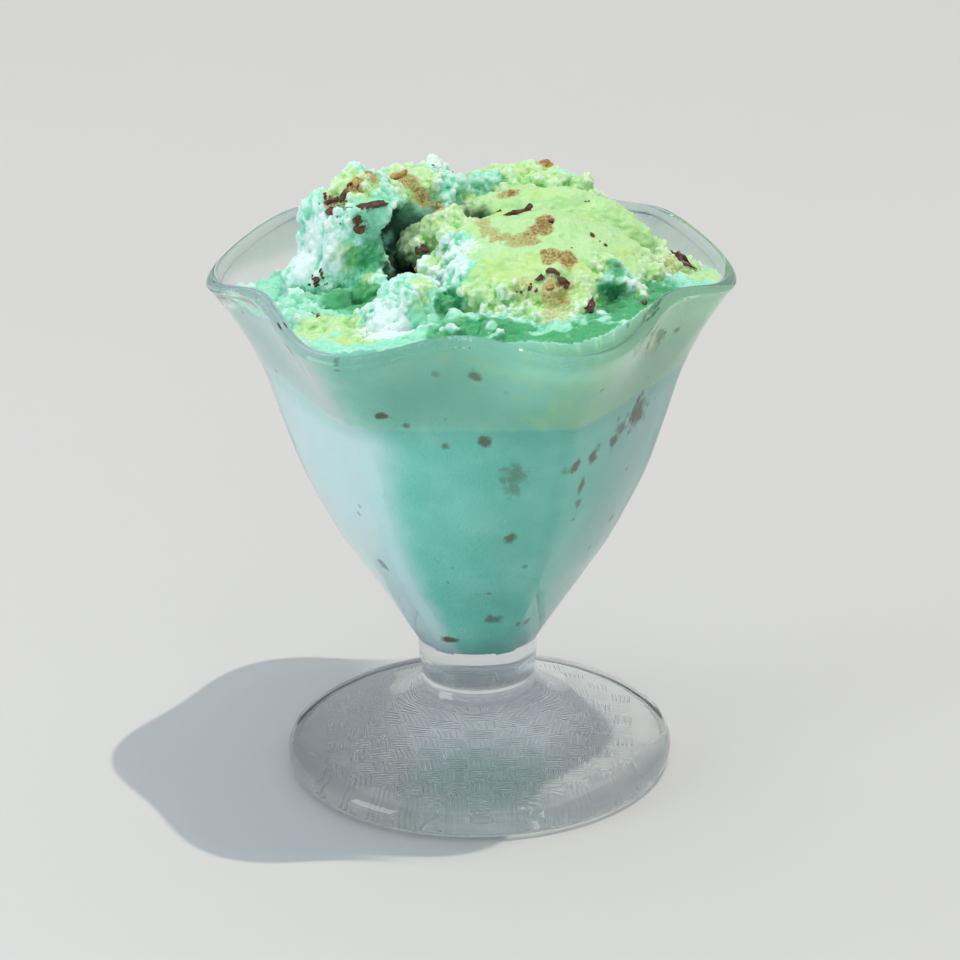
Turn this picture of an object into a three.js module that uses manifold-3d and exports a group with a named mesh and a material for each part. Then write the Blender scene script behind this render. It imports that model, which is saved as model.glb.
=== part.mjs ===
// A footed sundae glass with a wavy six-lobed rim, filled and heaped with gelato.
// Millimetres, +Z up. The foot stands on z = 0 and the glass is centred on the Z axis.
// Angles round the glass run from the front (-Y) towards the right (+X).
import * as THREE from "three";
import { mergeVertices } from "three/addons/utils/BufferGeometryUtils.js";
import Module from "manifold-3d";

const wasm = await Module();
wasm.setup();

const DEG = Math.PI / 180;

// Driving dimensions of the glass
const LOBES = 6;
const LOBE_TURN = -3 * DEG; // the front lobe stands a little to the left
const GLASS_STEPS = 48; // round the axis, eight to a lobe
const FOOT_RADIUS = 40;
const FOOT_EDGE = 7; // height of the foot's rounded edge
const STEM_RADIUS = 12.5;
const STEM_FOOT = 20.5; // height where the foot's sweep has become the stem
const STEM_TOP = 28.8;
const CREASE_RADIUS = 43; // at a ridge between two panels
const CREASE_HEIGHT = 89;
const CREASE_WAVE = 0.6; // the crease arches over each panel
const PANEL_SHARE = 0.7; // how flat the outer panels are, 1 being a true hexagon
const INNER_SHARE = 0.35; // the same for the inner wall
const PANEL_START = 38; // height where the panels have their full share
const RIM_RADIUS = 49.1; // mean radius of the lip's centre line
const RIM_HEIGHT = 108.75;
const RIM_WAVE_OUT = 2.8; // the lip leans in at each lobe and out between lobes
const RIM_WAVE_UP = 2.2; // and stands higher at each lobe
const LIP_RADIUS = 1.6;
const RIDGE_WALL = 5; // wall at a ridge, where a panel's middle is about half of it
const COLLAR_WALL = 3;
const CAVITY_FLOOR = 28.4;

// Driving dimensions of the gelato
const GAP = 0.35; // kept between neighbouring solids
const FILL_STEPS = 36;
const FILL_LEVEL = 103;
const LEVEL_SLOPE = [0.05, -0.045]; // rise of the level towards the right and the back
const DIP_AT = [-44, 4]; // a shallow dip at the left wall
const DIP_DEPTH = 1.2;
const DIP_SPREAD = 200; // square of the dip's radius, about
const LEVEL_WAVES = 2; // height of the level's unevenness
const LEVEL_WAVELENGTH = 7;
const CRAG = 4.2; // width of a coarse crag on a torn surface
const SKY = 140; // above everything

// Outside ridge line of the body from the stem to the crease, as radius and height
const BODY_LINE = [
  [STEM_RADIUS, STEM_TOP],
  [16.4, 34],
  [21.9, 42],
  [27.3, 50],
  [31.6, 58],
  [35.4, 66],
  [38.9, 76],
  [42.1, 86],
  [CREASE_RADIUS, CREASE_HEIGHT],
];

const mix = (a, b, t) => a + (b - a) * t;

function smooth(from, to, value) {
  const t = Math.min(1, Math.max(0, (value - from) / (to - from)));
  return t * t * (3 - 2 * t);
}

// Radius of the ridge line at a height, read off the body line.
function ridgeRadius(height) {
  const upper = BODY_LINE.findIndex(([, z]) => z >= height);
  const [r1, z1] = BODY_LINE[Math.max(1, upper)];
  const [r0, z0] = BODY_LINE[Math.max(1, upper) - 1];
  return mix(r0, r1, (height - z0) / (z1 - z0));
}

// A station is a ring of the glass: its radius and height at a ridge, how much of a flat
// panel it shows, and how far it waves out and up.
const ring = (radius, height, share = 0, out = 0, up = 0) => ({
  radius,
  height,
  share,
  out,
  up,
});

// Stations of the collar from the crease (0) to the lip's centre line (1).
function collarRing(t, inset, share) {
  const flare = mix(t, t * t, 0.3);
  return ring(
    mix(CREASE_RADIUS, RIM_RADIUS, flare) - inset,
    mix(CREASE_HEIGHT, RIM_HEIGHT, t),
    share * (1 - t),
    RIM_WAVE_OUT * t,
    mix(CREASE_WAVE, RIM_WAVE_UP, t),
  );
}

function lipRing(angle, radius = LIP_RADIUS) {
  return ring(
    RIM_RADIUS + radius * Math.cos(angle),
    RIM_HEIGHT + radius * Math.sin(angle),
    0,
    RIM_WAVE_OUT,
    RIM_WAVE_UP,
  );
}

const panelAt = (height) => smooth(STEM_TOP, PANEL_START, height);

function outsideRings() {
  const foot = [
    ring(0, 0),
    ring(FOOT_RADIUS - 2.8, 0),
    ring(FOOT_RADIUS - 0.7, 1),
    ring(FOOT_RADIUS, FOOT_EDGE * 0.46),
    ring(FOOT_RADIUS - 0.7, FOOT_EDGE * 0.78),
    ring(FOOT_RADIUS - 3, FOOT_EDGE),
    ring(29, 8.9),
    ring(20, 11.9),
    ring(14.6, 16),
    ring(STEM_RADIUS, STEM_FOOT),
  ];
  const body = BODY_LINE.map(([radius, height]) =>
    ring(
      radius,
      height,
      PANEL_SHARE * panelAt(height),
      0,
      height < CREASE_HEIGHT ? 0 : CREASE_WAVE,
    ),
  );
  const collar = [0.3, 0.6, 0.88].map((t) => collarRing(t, 0, PANEL_SHARE));
  const lip = [-20, 20, 60, 100, 140, 180].map((a) => lipRing(a * DEG));
  return [...foot, ...body, ...collar, ...lip];
}

// Stations of the inner wall from the cavity's floor up, moved in by a gap.
function insideRings(gap) {
  const floor = [
    ring(0, CAVITY_FLOOR + gap),
    ring(4.5 - gap, CAVITY_FLOOR + 0.5 + gap),
    ring(8 - gap, CAVITY_FLOOR + 2.6 + gap),
  ];
  const wall = [35, 42, 50, 58, 66, 76, 86].map((height) =>
    ring(
      ridgeRadius(height) - RIDGE_WALL - gap,
      height,
      INNER_SHARE * panelAt(height),
    ),
  );
  const crease = [ring(CREASE_RADIUS - RIDGE_WALL - gap + 0.3, 90, INNER_SHARE, 0, CREASE_WAVE)];
  const collar = [0.34, 0.62, 0.86].map((t) =>
    collarRing(t, mix(RIDGE_WALL, COLLAR_WALL, Math.sqrt(t)) + gap, INNER_SHARE),
  );
  return [...floor, ...wall, ...crease, ...collar];
}

// Turns a geometry into a solid that manifold-3d can join and cut.
function solidOf(geometry) {
  const bare = new THREE.BufferGeometry();
  bare.setAttribute("position", geometry.getAttribute("position"));
  if (geometry.index) bare.setIndex(geometry.index);
  const merged = mergeVertices(bare, 1e-4);
  const corners = [];
  for (let i = 0; i < merged.index.count; i += 3) {
    const [a, b, c] = [0, 1, 2].map((k) => merged.index.getX(i + k));
    if (a !== b && b !== c && c !== a) corners.push(a, b, c);
  }
  return new wasm.Manifold(
    new wasm.Mesh({
      numProp: 3,
      vertProperties: Float32Array.from(merged.attributes.position.array),
      triVerts: Uint32Array.from(corners),
    }),
  );
}

// A lathe whose stations may be panelled and waved with the lobes of the glass.
function lobedSolid(rings, steps) {
  const profile = rings.map((r) => new THREE.Vector2(r.radius, r.height));
  const lathe = new THREE.LatheGeometry(profile, steps);
  const spots = lathe.getAttribute("position");
  for (let i = 0; i <= steps; i++) {
    const turn = ((i % steps) / steps) * Math.PI * 2; // measured from a lobe
    const wave = Math.cos(LOBES * turn);
    const half = Math.PI / LOBES;
    const inPanel = Math.abs(((turn + half) % (2 * half)) - half);
    const flat = 1 - Math.cos(half) / Math.cos(inPanel);
    const angle = turn + LOBE_TURN;
    rings.forEach((r, j) => {
      const radius = r.radius * (1 - r.share * flat) - (r.radius > 0 ? r.out * wave : 0);
      const height = r.height + r.up * wave;
      spots.setXYZ(
        i * rings.length + j,
        radius * Math.sin(angle),
        -radius * Math.cos(angle),
        height,
      );
    });
  }
  return solidOf(lathe);
}

// Smooth noise between 0 and 1, the same on every run.
function latticeValue(x, y, z) {
  const s = Math.sin(x * 127.1 + y * 311.7 + z * 74.7) * 43758.5453;
  return s - Math.floor(s);
}

function noise(x, y, z) {
  const cell = [x, y, z].map(Math.floor);
  const [fx, fy, fz] = [x, y, z].map((v, i) => {
    const f = v - cell[i];
    return f * f * (3 - 2 * f);
  });
  const at = (i, j, k) => latticeValue(cell[0] + i, cell[1] + j, cell[2] + k);
  const along = (j, k) => mix(at(0, j, k), at(1, j, k), fx);
  return mix(mix(along(0, 0), along(1, 0), fy), mix(along(0, 1), along(1, 1), fy), fz);
}

// Coarse and fine crags, between -1 and 1.
function crags(x, y, z) {
  const coarse = noise(x / CRAG, y / CRAG, z / CRAG);
  const fine = noise((2 * x) / CRAG + 40, (2 * y) / CRAG, (2 * z) / CRAG);
  return (coarse - 0.5) * 1.4 + (fine - 0.5) * 0.6;
}

// An uneven ball of gelato. Growing it moves its whole surface out.
function lump({ at, radii, turn = [0, 0, 0], relief, detail }, grow = 0) {
  const ball = new THREE.IcosahedronGeometry(1, detail);
  const spots = ball.getAttribute("position");
  const euler = new THREE.Euler(...turn.map((t) => t * DEG));
  const p = new THREE.Vector3();
  for (let i = 0; i < spots.count; i++) {
    p.fromBufferAttribute(spots, i);
    const along = p.clone();
    p.multiply(new THREE.Vector3(...radii)).applyEuler(euler).add(new THREE.Vector3(...at));
    along.applyEuler(euler);
    p.addScaledVector(along, relief * crags(p.x, p.y, p.z) + grow);
    spots.setXYZ(i, p.x, p.y, p.z);
  }
  return solidOf(ball);
}

// A chip of chocolate: a small slab, placed and turned.
function chip({ at, size, turn = [0, 0, 0] }, grow = 0) {
  const slab = new THREE.BoxGeometry(...size.map((s) => s + 2 * grow));
  slab.applyMatrix4(
    new THREE.Matrix4().makeRotationFromEuler(new THREE.Euler(...turn.map((t) => t * DEG))),
  );
  slab.translate(...at);
  return solidOf(slab);
}

// The level of the gelato under the scoops: higher at the front, lower at the left.
function levelAt(x, y) {
  const fromDip = (x - DIP_AT[0]) ** 2 + (y - DIP_AT[1]) ** 2;
  const dip = DIP_DEPTH * Math.exp(-fromDip / DIP_SPREAD);
  const roll = noise(x / LEVEL_WAVELENGTH + 9, y / LEVEL_WAVELENGTH + 5, 0.5) - 0.5;
  return FILL_LEVEL + LEVEL_SLOPE[0] * x + LEVEL_SLOPE[1] * y - dip + LEVEL_WAVES * roll;
}

function mound(grow = 0) {
  const bottom = [ring(0, 10), ring(60, 10)];
  const top = [60, 50, 44, 38, 31, 24, 16, 8, 0].map((radius) => ring(radius, SKY));
  const rings = [...bottom, ...top];
  const profile = rings.map((r) => new THREE.Vector2(r.radius, r.height));
  const lathe = new THREE.LatheGeometry(profile, FILL_STEPS, LOBE_TURN);
  lathe.rotateX(90 * DEG);
  const spots = lathe.getAttribute("position");
  for (let i = 0; i < spots.count; i++) {
    if (spots.getZ(i) < SKY - 1) continue;
    spots.setZ(i, levelAt(spots.getX(i), spots.getY(i)) + grow);
  }
  return BANK.reduce((all, knob) => all.add(lump(knob, grow)), solidOf(lathe));
}

// All the room inside the glass, clear of its wall, and the air above it.
function roomInside() {
  const mouth = lipRing(180 * DEG, LIP_RADIUS + GAP);
  const sky = { ...mouth, height: SKY };
  return lobedSolid([...insideRings(GAP), mouth, sky, ring(0, SKY)], FILL_STEPS);
}

// Lumps strung along an arc seen from above, as a torn skirt. Each one's reach, height and
// size vary by seeded chance.
function skirt({ middle, radius, from, to, count, height, size, seed }) {
  const reachSpread = 2.4;
  const heightSpread = 3;
  const smallest = 0.8;
  const sizeSpread = 0.45;
  const squat = 0.85; // a lump's height against its width
  const chance = (row, i) => latticeValue(seed, row * 20 + i, 3);
  return Array.from({ length: count }, (_, i) => {
    const angle = mix(from, to, i / (count - 1)) * DEG;
    const reach = radius + reachSpread * (chance(0, i) - 0.5);
    const wide = size * (smallest + sizeSpread * chance(1, i));
    return {
      at: [
        middle[0] + reach * Math.sin(angle),
        middle[1] - reach * Math.cos(angle),
        height + heightSpread * (chance(2, i) - 0.5),
      ],
      radii: [wide, wide, wide * squat],
      relief: 1.6,
      detail: 2,
    };
  });
}

// Each scoop: its lumps, the hollows torn out of them and the chips that stand out.
const SCOOPS = {
  scoop_right: {
    colour: "#b5e8a8",
    lumps: [
      { at: [15, -9, 107], radii: [24.5, 23, 15.4], turn: [0, 8, 0], relief: 0.7, detail: 5 },
      { at: [3, -8, 110], radii: [11, 13, 11.5], relief: 1.4, detail: 3 },
      { at: [-5, 0, 116.5], radii: [5, 5, 5], relief: 1.2, detail: 2 },
      { at: [-11, -0.5, 113.5], radii: [4.5, 4, 4.5], relief: 1, detail: 2 },
      ...skirt({
        middle: [15, -9],
        radius: 18,
        from: -62,
        to: 66,
        count: 7,
        height: 107,
        size: 6.4,
        seed: 4,
      }),
    ],
    hollows: [
      { at: [30, -29, 113], radii: [8, 6, 5], turn: [0, 25, 30], relief: 1.4, detail: 3 },
      { at: [4, -37, 102], radii: [10, 7, 5.5], relief: 1.4, detail: 3 },
    ],
    chips: [
      { at: [9, -3, 121.6], size: [6.5, 2.4, 1.6], turn: [8, -4, 10] },
      { at: [17, -26.5, 114.5], size: [4.5, 2.5, 2.5], turn: [30, 10, 20] },
    ],
  },
  scoop_front: {
    colour: "#bff0e0",
    lumps: [
      { at: [-13.5, -31, 108], radii: [8, 6, 9.2], turn: [-6, 0, 10], relief: 1.1, detail: 3 },
      { at: [-12, -22, 109.5], radii: [7.5, 6.5, 6.5], relief: 1.3, detail: 2 },
      { at: [-21, -27, 105], radii: [5, 5, 5], relief: 1.4, detail: 2 },
    ],
    hollows: [],
    chips: [{ at: [-21, -31.6, 107.4], size: [2, 2.4, 2.4], turn: [20, 30, 0] }],
  },
  scoop_left: {
    colour: "#a6ecd2",
    lumps: [
      { at: [-22, 3, 112], radii: [14, 13, 16.3], turn: [0, -4, 0], relief: 1.3, detail: 5 },
      { at: [-10.5, 13, 117.3], radii: [12.5, 7, 8.8], turn: [0, 10, -15], relief: 1, detail: 3 },
      { at: [-8, 22, 119.5], radii: [4.5, 4.5, 5], relief: 0.8, detail: 2 },
      { at: [-15, -9, 107.5], radii: [10, 7, 7], relief: 1.3, detail: 2 },
      { at: [-31, -3, 107], radii: [7, 8, 8], relief: 1.3, detail: 2 },
    ],
    hollows: [
      { at: [-11, -3, 117.5], radii: [7, 9, 7.5], turn: [0, 20, -20], relief: 1, detail: 2 },
      { at: [-6, -8, 111], radii: [6, 5, 7], relief: 0.8, detail: 2 },
    ],
    chips: [
      { at: [-19.5, -6, 119.6], size: [7, 6, 7], turn: [0, 4, 8] },
      { at: [-21, -6, 123.4], size: [9.5, 4.5, 1.2], turn: [-4, 4, 8] },
      { at: [-26, -1, 126], size: [3, 2.4, 2.4], turn: [10, 20, 30] },
      { at: [-29, -9.6, 108], size: [3, 2, 3], turn: [0, 30, 20] },
    ],
  },
  scoop_back: {
    colour: "#bdecae",
    lumps: [
      { at: [17, 11, 110.5], radii: [21, 9, 11.5], turn: [0, 9, 0], relief: 0.6, detail: 4 },
      { at: [11, 24, 111], radii: [17, 8, 11.6], turn: [0, 4, 0], relief: 1.3, detail: 4 },
      { at: [28, 17, 105.5], radii: [8, 10, 7], relief: 1.2, detail: 2 },
    ],
    hollows: [],
    chips: [{ at: [6.5, 7, 120.4], size: [3, 2.4, 1.6], turn: [0, 20, 20] }],
  },
  scoop_side: {
    colour: "#cdeeb2",
    lumps: [{ at: [40, 2.5, 105.2], radii: [5.8, 6.8, 5.2], relief: 0.9, detail: 3 }],
    hollows: [],
    chips: [{ at: [41, 0, 109.2], size: [5.5, 2, 2], turn: [10, 35, -20] }],
  },
};

// Lumps that stand up from the level of the fill at the left front.
const BANK = [
  { at: [-34, -8, 101], radii: [6, 6.5, 7], relief: 1.3, detail: 2 },
  { at: [-29, -20, 100.5], radii: [8, 6, 6.8], relief: 1.3, detail: 3 },
  { at: [-20, -29, 100.5], radii: [7, 6.5, 6.5], relief: 1.3, detail: 2 },
  { at: [-38, 2, 98.5], radii: [4.5, 5, 5], relief: 1, detail: 2 },
];

// The raw form of a scoop, before it is fitted to its neighbours.
function scoopForm({ lumps, hollows, chips }, grow = 0) {
  let form = lump(lumps[0], grow);
  for (const other of lumps.slice(1)) form = form.add(lump(other, grow));
  for (const hollow of hollows) form = form.subtract(lump(hollow, -grow));
  for (const slab of chips) form = form.add(chip(slab, grow));
  return form;
}

// The largest body of a solid: scraps that a cut leaves loose are dropped.
function mainBody(solid) {
  const bodies = solid.decompose();
  return bodies.reduce((best, body) => (body.volume() > best.volume() ? body : best));
}

function meshOf(solid, name, colour, roughness) {
  const { numProp, vertProperties, triVerts } = solid.getMesh();
  const spots = new Float32Array((vertProperties.length / numProp) * 3);
  for (let i = 0; i < spots.length / 3; i++) {
    spots.set(vertProperties.subarray(i * numProp, i * numProp + 3), i * 3);
  }
  const geometry = new THREE.BufferGeometry();
  geometry.setAttribute("position", new THREE.BufferAttribute(spots, 3));
  geometry.setIndex(new THREE.BufferAttribute(triVerts, 1));
  geometry.computeVertexNormals();
  const material = new THREE.MeshStandardMaterial({ color: colour, roughness, metalness: 0 });
  const mesh = new THREE.Mesh(geometry, material);
  mesh.name = name;
  return mesh;
}

const glass = lobedSolid([...outsideRings(), ...insideRings(0).reverse()], GLASS_STEPS);
const room = roomInside();
const cup = new THREE.Group();
cup.add(meshOf(glass, "glass", "#dfeeea", 0.05));
cup.add(meshOf(room.intersect(mound()), "gelato_fill", "#86dcc0", 0.5));

let taken = mound(GAP);
for (const [name, scoop] of Object.entries(SCOOPS)) {
  const fitted = scoopForm(scoop).intersect(room).subtract(taken);
  cup.add(meshOf(mainBody(fitted), name, scoop.colour, 0.55));
  taken = taken.add(scoopForm(scoop, GAP));
}

export default cup;
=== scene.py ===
"""The looks of a sundae glass heaped with gelato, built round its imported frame.

The glass is spun from a profile and then panelled and waved. Each scoop is fused from lumps,
roughened with crumbs, and coloured by where it is torn and where it is smooth.
"""

import math

import bpy
import numpy as np
from mathutils import Euler, Matrix, Vector
from mathutils.bvhtree import BVHTree


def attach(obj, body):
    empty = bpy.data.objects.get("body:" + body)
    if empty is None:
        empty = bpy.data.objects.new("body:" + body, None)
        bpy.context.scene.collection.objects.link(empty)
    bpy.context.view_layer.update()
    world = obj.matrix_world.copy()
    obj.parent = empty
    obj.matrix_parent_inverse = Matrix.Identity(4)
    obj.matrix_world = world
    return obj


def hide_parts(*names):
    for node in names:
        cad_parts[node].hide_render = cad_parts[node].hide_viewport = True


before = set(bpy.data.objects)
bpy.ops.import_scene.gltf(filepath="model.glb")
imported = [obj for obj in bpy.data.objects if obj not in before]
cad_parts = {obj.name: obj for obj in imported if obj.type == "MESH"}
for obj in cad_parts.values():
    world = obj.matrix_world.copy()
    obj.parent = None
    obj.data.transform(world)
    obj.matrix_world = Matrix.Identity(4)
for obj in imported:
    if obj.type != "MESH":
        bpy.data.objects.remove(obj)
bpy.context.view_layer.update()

MM = 0.001  # sizes below are in millimetres, and this turns them into Blender's metres

# The glass: radii and heights, as in the part's source
LOBES = 6
LOBE_TURN = math.radians(-3)
FOOT_RADIUS = 40.0
FOOT_EDGE = 7.0
STEM_RADIUS = 12.5
STEM_WAIST = 11.8
STEM_FOOT = 19.8
STEM_TOP = 28.8
CREASE_RADIUS = 43.0
CREASE_HEIGHT = 89.0
CREASE_WAVE = 0.6
PANEL_SHARE = 0.7
INNER_SHARE = 0.35
PANEL_START = 38.0
RIM_RADIUS = 49.1
RIM_HEIGHT = 108.75
RIM_WAVE_OUT = 2.8
RIM_WAVE_UP = 2.2
LIP_RADIUS = 1.6
RIDGE_WALL = 5.0
COLLAR_WALL = 3.0
CAVITY_FLOOR = 28.4
UNDERSIDE_RECESS = 0.5  # the woven underside stands this far off the table
FOOT_RING = 36.0  # inside this radius the underside is woven
WEAVE_PATCH = 4.8
WEAVE_BARS = 5  # in each patch
WEAVE_BAR = 0.5
WEAVE_DEPTH = 0.15

BODY_LINE = (
    (STEM_RADIUS, STEM_TOP),
    (16.4, 34),
    (21.9, 42),
    (27.3, 50),
    (31.6, 58),
    (35.4, 66),
    (38.9, 76),
    (42.1, 86),
    (CREASE_RADIUS, CREASE_HEIGHT),
)
GLASS_STEPS = 288  # round the axis

# The gelato
FILL_LEVEL = 103.0
WALL_BITE = 0.12  # the fill reaches this far into the glass, so that no air shows between them
FUSE_CELL = 0.8  # voxel that fuses the lumps of a scoop
CRUMB_CELL = 0.38  # voxel that fuses the crumbs onto it
FILL_CELL = 0.5  # voxel that fuses the crumbs onto the gelato in the bowl
SMALLEST_CRUMB = 0.5
MOUND_SPLIT = 100.0  # corners of the mound's block above this height are set to the fill's level
ROOM_TOP = 140.0  # above all the gelato

# The camera, fitted to the photograph's 960 by 960 frame
FRAME_PIXELS = 960
FOCAL_PIXELS = 4870
CAMERA_AIM = Vector((0, 0, 60)) * MM
CAMERA_FAR = 1000 * MM
CAMERA_RISE = math.radians(23.0)
CAMERA_ROLL = math.radians(-1.1)
CAMERA_OFF = (-5.1, 13.0)  # where the aim lands, in pixels from the frame's middle
SENSOR = 36.0


def mix(a, b, t):
    """Between a and b, at the share t."""
    return a + (b - a) * t


def smooth(low, high, value):
    """0 at low and 1 at high, eased between them. Low may be the greater."""
    t = np.clip((value - low) / (high - low), 0, 1)
    return t * t * (3 - 2 * t)


# Modelling helpers


def deselect():
    if bpy.context.mode != "OBJECT":
        bpy.ops.object.mode_set(mode="OBJECT")
    bpy.ops.object.select_all(action="DESELECT")


def pick(*objects):
    deselect()
    for obj in objects:
        obj.select_set(True)
    bpy.context.view_layer.objects.active = objects[0]


def fused(objects):
    """Joins objects into the first one."""
    pick(*objects)
    bpy.ops.object.join()
    return bpy.context.view_layer.objects.active


def settle(obj):
    """Applies an object's place, so that it sits at the origin, unturned and unscaled."""
    pick(obj)
    bpy.ops.object.transform_apply(location=True, rotation=True, scale=True)
    return obj


def modify(obj, kind, **settings):
    """Adds one modifier and applies it."""
    modifier = obj.modifiers.new(kind.lower(), kind)
    for name, value in settings.items():
        setattr(modifier, name, value)
    pick(obj)
    bpy.ops.object.modifier_apply(modifier=modifier.name)


def voxels(obj, cell):
    modify(obj, "REMESH", mode="VOXEL", voxel_size=cell * MM, use_smooth_shade=True)


def cut(obj, other, operation):
    modify(obj, "BOOLEAN", object=other, operation=operation, solver="MANIFOLD")
    bpy.data.objects.remove(other)


def places(obj):
    flat = np.empty(len(obj.data.vertices) * 3)
    obj.data.vertices.foreach_get("co", flat)
    return flat.reshape(-1, 3) / MM


def move_to(obj, spots):
    obj.data.vertices.foreach_set("co", (spots * MM).ravel())
    obj.data.update()


def normals(obj):
    flat = np.empty(len(obj.data.vertices) * 3)
    obj.data.vertex_normals.foreach_get("vector", flat)
    return flat.reshape(-1, 3)


def raw_piece(name, corners, faces):
    """A piece from its corners, in millimetres, and its faces."""
    mesh = bpy.data.meshes.new(name)
    mesh.from_pydata((corners * MM).tolist(), [], faces)
    obj = bpy.data.objects.new(name, mesh)
    bpy.context.collection.objects.link(obj)
    return obj


def store(obj, name, values):
    """Keeps one number per vertex on a piece, for its material to read."""
    layer = obj.data.attributes.new(name, "FLOAT", "POINT")
    layer.data.foreach_set("value", np.asarray(values, dtype=float))


# The lobed glass


def ring(radius, height, share=0.0, out=0.0, up=0.0):
    """A station: its radius and height at a ridge, how flat its panels are, and its waves."""
    return np.array([radius, height, share, out, up], dtype=float)


def panel_at(height):
    """How far the panels have set in at a height, from 0 to 1."""
    return float(smooth(STEM_TOP, PANEL_START, height))


def ridge_radius(height):
    radii, heights = zip(*BODY_LINE)
    return float(np.interp(height, heights, radii))


def collar_ring(t, inset, share):
    """A station of the flared collar, from its crease at 0 to the rim at 1."""
    flare = mix(t, t * t, 0.35)
    return ring(
        mix(CREASE_RADIUS, RIM_RADIUS + LIP_RADIUS * 0.94, flare) - inset,
        mix(CREASE_HEIGHT, RIM_HEIGHT, t),
        share * (1 - t),
        RIM_WAVE_OUT * t,
        mix(CREASE_WAVE, RIM_WAVE_UP, t),
    )


def lip_ring(angle, radius=LIP_RADIUS):
    return ring(
        RIM_RADIUS + radius * math.cos(angle),
        RIM_HEIGHT + radius * math.sin(angle),
        0,
        RIM_WAVE_OUT,
        RIM_WAVE_UP,
    )


def through(stations, per_span=5):
    """A smooth run through its stations, by centripetal Catmull-Rom curves."""
    points = [2 * stations[0] - stations[1], *stations, 2 * stations[-1] - stations[-2]]
    run = []
    for p0, p1, p2, p3 in zip(points, points[1:], points[2:], points[3:]):
        knots = [0.0]
        for a, b in ((p0, p1), (p1, p2), (p2, p3)):
            knots.append(knots[-1] + max(1e-3, np.linalg.norm((b - a)[:2])) ** 0.5)
        k0, k1, k2, k3 = knots
        for t in np.linspace(k1, k2, per_span, endpoint=False):
            a1 = mix(p0, p1, (t - k0) / (k1 - k0))
            a2 = mix(p1, p2, (t - k1) / (k2 - k1))
            a3 = mix(p2, p3, (t - k2) / (k3 - k2))
            b1 = mix(a1, a2, (t - k0) / (k2 - k0))
            b2 = mix(a2, a3, (t - k1) / (k3 - k1))
            run.append(mix(b1, b2, (t - k1) / (k2 - k1)))
    return [*run, stations[-1]]


def outside_runs():
    """The outer profile from the middle of the underside to the top of the lip."""
    underside = [
        ring(0, UNDERSIDE_RECESS),
        ring(FOOT_RING, UNDERSIDE_RECESS),
        ring(FOOT_RING + 0.7, 0),
        ring(FOOT_RADIUS - 2.8, 0),
    ]
    foot = [
        ring(FOOT_RADIUS - 2.8, 0),
        ring(FOOT_RADIUS - 0.7, 1),
        ring(FOOT_RADIUS, FOOT_EDGE * 0.46),
        ring(FOOT_RADIUS - 0.7, FOOT_EDGE * 0.78),
        ring(FOOT_RADIUS - 3, FOOT_EDGE),
        ring(29, 8.9),
        ring(20, 11.9),
        ring(14.4, 16),
        ring(STEM_WAIST, STEM_FOOT),
        ring(mix(STEM_WAIST, STEM_RADIUS, 0.6), 24.5),
        ring(STEM_RADIUS, STEM_TOP),
    ]
    body = [
        ring(radius, height, PANEL_SHARE * panel_at(height), 0, CREASE_WAVE * (height > 88))
        for radius, height in BODY_LINE
    ]
    collar = [collar_ring(t, 0, PANEL_SHARE) for t in (0, 0.25, 0.5, 0.75, 0.93)]
    lip = [lip_ring(math.radians(a)) for a in range(0, 181, 15)]
    return [underside, through(foot), through(body), through([*collar, *lip], 4)]


def inside_stations(gap):
    """Stations of the inner wall from the cavity's floor up, moved in by a gap."""
    floor = [
        ring(0, CAVITY_FLOOR + gap),
        ring(4.5 - gap, CAVITY_FLOOR + 0.5 + gap),
        ring(8 - gap, CAVITY_FLOOR + 2.6 + gap),
    ]
    wall = [
        ring(ridge_radius(height) - RIDGE_WALL - gap, height, INNER_SHARE * panel_at(height))
        for height in (35, 42, 50, 58, 66, 76, 86)
    ]
    crease = ring(CREASE_RADIUS - RIDGE_WALL - gap + 0.3, 90, INNER_SHARE, 0, CREASE_WAVE)
    collar = [
        collar_ring(t, mix(RIDGE_WALL, COLLAR_WALL, math.sqrt(t)) + gap, INNER_SHARE)
        for t in (0.34, 0.62, 0.86)
    ]
    return [*floor, *wall, crease, *collar]


def spun(name, stations):
    """A profile drawn as a chain of edges, spun round the axis, then panelled and waved."""
    deselect()
    bpy.ops.mesh.primitive_plane_add(size=MM, location=(0, 0, 0))
    obj = bpy.context.object
    obj.name = name
    bpy.ops.object.mode_set(mode="EDIT")
    bpy.ops.mesh.select_all(action="SELECT")
    bpy.ops.mesh.merge(type="CENTER")
    chain = np.array([[s[0], 0, s[1]] for s in stations]) * MM
    bpy.ops.transform.translate(value=chain[0])
    for step in np.diff(chain, axis=0):
        bpy.ops.mesh.extrude_region_move(TRANSFORM_OT_translate={"value": step})
    bpy.ops.object.mode_set(mode="OBJECT")
    for name_of, column in (("share", 2), ("out", 3), ("up", 4)):
        store(obj, name_of, [s[column] for s in stations])
    bpy.ops.object.mode_set(mode="EDIT")
    bpy.ops.mesh.select_all(action="SELECT")
    bpy.ops.mesh.spin(steps=GLASS_STEPS, angle=math.tau, center=(0, 0, 0), axis=(0, 0, 1))
    bpy.ops.mesh.select_all(action="SELECT")
    bpy.ops.mesh.remove_doubles(threshold=0.02 * MM)
    bpy.ops.mesh.normals_make_consistent(inside=False)
    bpy.ops.object.mode_set(mode="OBJECT")
    wave_with_lobes(obj)
    bpy.ops.object.shade_smooth()
    return obj


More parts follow.
